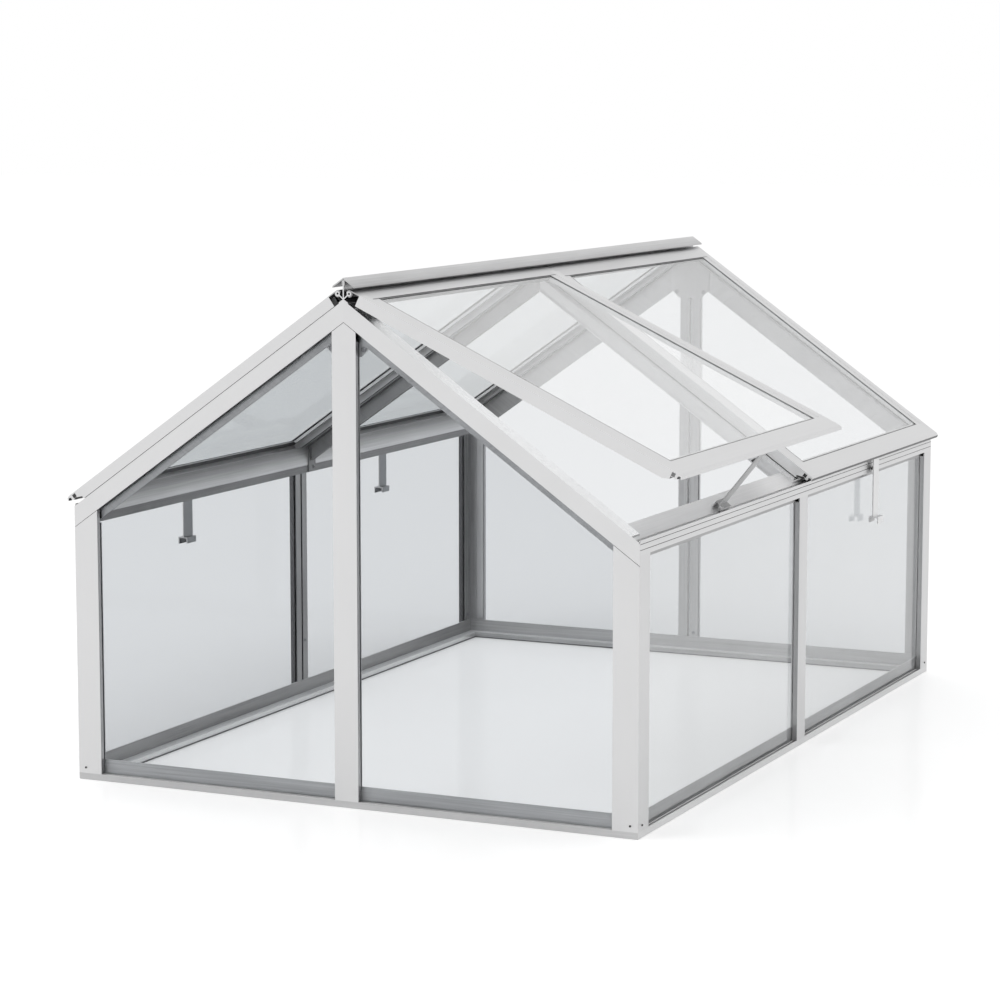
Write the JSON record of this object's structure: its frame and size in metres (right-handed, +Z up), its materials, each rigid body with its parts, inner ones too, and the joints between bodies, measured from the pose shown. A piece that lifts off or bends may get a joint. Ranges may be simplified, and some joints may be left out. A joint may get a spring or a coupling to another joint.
{
  "type": "cold frame greenhouse",
  "caption": "Low gabled aluminium and glass greenhouse with hinged roof lids, one lid propped open on its stay.",
  "frame": {"origin": "on the ground, in the middle of the sole of the front base rail", "axes": "+X across the front gable towards the propped lid's side, +Y along the ridge from the front gable to the back gable, +Z up"},
  "size_m": [1.0863, 1.5021, 0.843],
  "materials": {
    "frame_aluminium": "plain mill aluminium, softly brushed along the extrusion",
    "stay_aluminium": "plain mill aluminium sheet, satin",
    "glass": "clear horticultural glass with a slight green grey tint"
  },
  "bodies": {
    "frame": {"front_base_rail": "frame_aluminium", "back_base_rail": "frame_aluminium", "left_base_rail": "frame_aluminium", "right_base_rail": "frame_aluminium", "front_left_corner_post": "frame_aluminium", "front_right_corner_post": "frame_aluminium", "back_left_corner_post": "frame_aluminium", "back_right_corner_post": "frame_aluminium", "front_centre_post": "frame_aluminium", "back_centre_post": "frame_aluminium", "left_mid_post": "frame_aluminium", "right_mid_post": "frame_aluminium", "front_left_gable_rafter": "frame_aluminium", "front_right_gable_rafter": "frame_aluminium", "back_left_gable_rafter": "frame_aluminium", "back_right_gable_rafter": "frame_aluminium", "left_mid_rafter": "frame_aluminium", "right_mid_rafter": "frame_aluminium", "left_eave_rail": "frame_aluminium", "right_eave_rail": "frame_aluminium", "ridge_bar": "frame_aluminium", "ridge_cap": "frame_aluminium", "apex_gussets": "frame_aluminium", "front_gable_glass": "glass", "back_gable_glass": "glass", "left_wall_glass": "glass", "right_wall_glass": "glass"},
    "front_left_lid": {"front_left_lid_top_rail": "frame_aluminium", "front_left_lid_bottom_rail": "frame_aluminium", "front_left_lid_side_rails": "frame_aluminium", "front_left_lid_glass": "glass"},
    "front_left_stay": {"front_left_stay": "stay_aluminium"},
    "front_right_lid": {"front_right_lid_top_rail": "frame_aluminium", "front_right_lid_bottom_rail": "frame_aluminium", "front_right_lid_side_rails": "frame_aluminium", "front_right_lid_glass": "glass"},
    "front_right_stay": {"front_right_stay": "stay_aluminium"},
    "back_left_lid": {"back_left_lid_top_rail": "frame_aluminium", "back_left_lid_bottom_rail": "frame_aluminium", "back_left_lid_side_rails": "frame_aluminium", "back_left_lid_glass": "glass"},
    "back_left_stay": {"back_left_stay": "stay_aluminium"},
    "back_right_lid": {"back_right_lid_top_rail": "frame_aluminium", "back_right_lid_bottom_rail": "frame_aluminium", "back_right_lid_side_rails": "frame_aluminium", "back_right_lid_glass": "glass"},
    "back_right_stay": {"back_right_stay": "stay_aluminium"}
  },
  "joints": [
    {"name": "front_left_lid_hinge", "type": "hinge", "parent": "frame", "child": "front_left_lid", "pos_m": [-0.01, 0.3677, 0.818], "axis": [0, 1, 0], "range_deg": [0, 45]},
    {"name": "front_left_stay_pivot", "type": "hinge", "parent": "front_left_lid", "child": "front_left_stay", "pos_m": [-0.50857, 0.3677, 0.46628], "axis": [0, 1, 0], "range_deg": [-46, 0.5]},
    {"name": "front_right_lid_hinge", "type": "hinge", "parent": "frame", "child": "front_right_lid", "pos_m": [0.01, 0.3677, 0.818], "axis": [0, -1, 0], "range_deg": [0, 35]},
    {"name": "front_right_stay_pivot", "type": "hinge", "parent": "front_right_lid", "child": "front_right_stay", "pos_m": [0.56207, 0.3677, 0.55819], "axis": [0, -1, 0], "range_deg": [-0.5, 4.9]},
    {"name": "back_left_lid_hinge", "type": "hinge", "parent": "frame", "child": "back_left_lid", "pos_m": [-0.01, 1.1202, 0.818], "axis": [0, 1, 0], "range_deg": [0, 45]},
    {"name": "back_left_stay_pivot", "type": "hinge", "parent": "back_left_lid", "child": "back_left_stay", "pos_m": [-0.50857, 1.1202, 0.46628], "axis": [0, 1, 0], "range_deg": [-46, 0.5]},
    {"name": "back_right_lid_hinge", "type": "hinge", "parent": "frame", "child": "back_right_lid", "pos_m": [0.01, 1.1202, 0.818], "axis": [0, -1, 0], "range_deg": [0, 45]},
    {"name": "back_right_stay_pivot", "type": "hinge", "parent": "back_right_lid", "child": "back_right_stay", "pos_m": [0.50857, 1.1202, 0.46628], "axis": [0, -1, 0], "range_deg": [-46, 0.5]}
  ],
  "couplings": [
    {"joint": "front_left_stay_pivot", "follows": "front_left_lid_hinge", "ratio": -1},
    {"joint": "front_right_stay_pivot", "follows": "front_right_lid_hinge", "ratio": 0.1108},
    {"joint": "back_left_stay_pivot", "follows": "back_left_lid_hinge", "ratio": -1},
    {"joint": "back_right_stay_pivot", "follows": "back_right_lid_hinge", "ratio": -1}
  ]
}
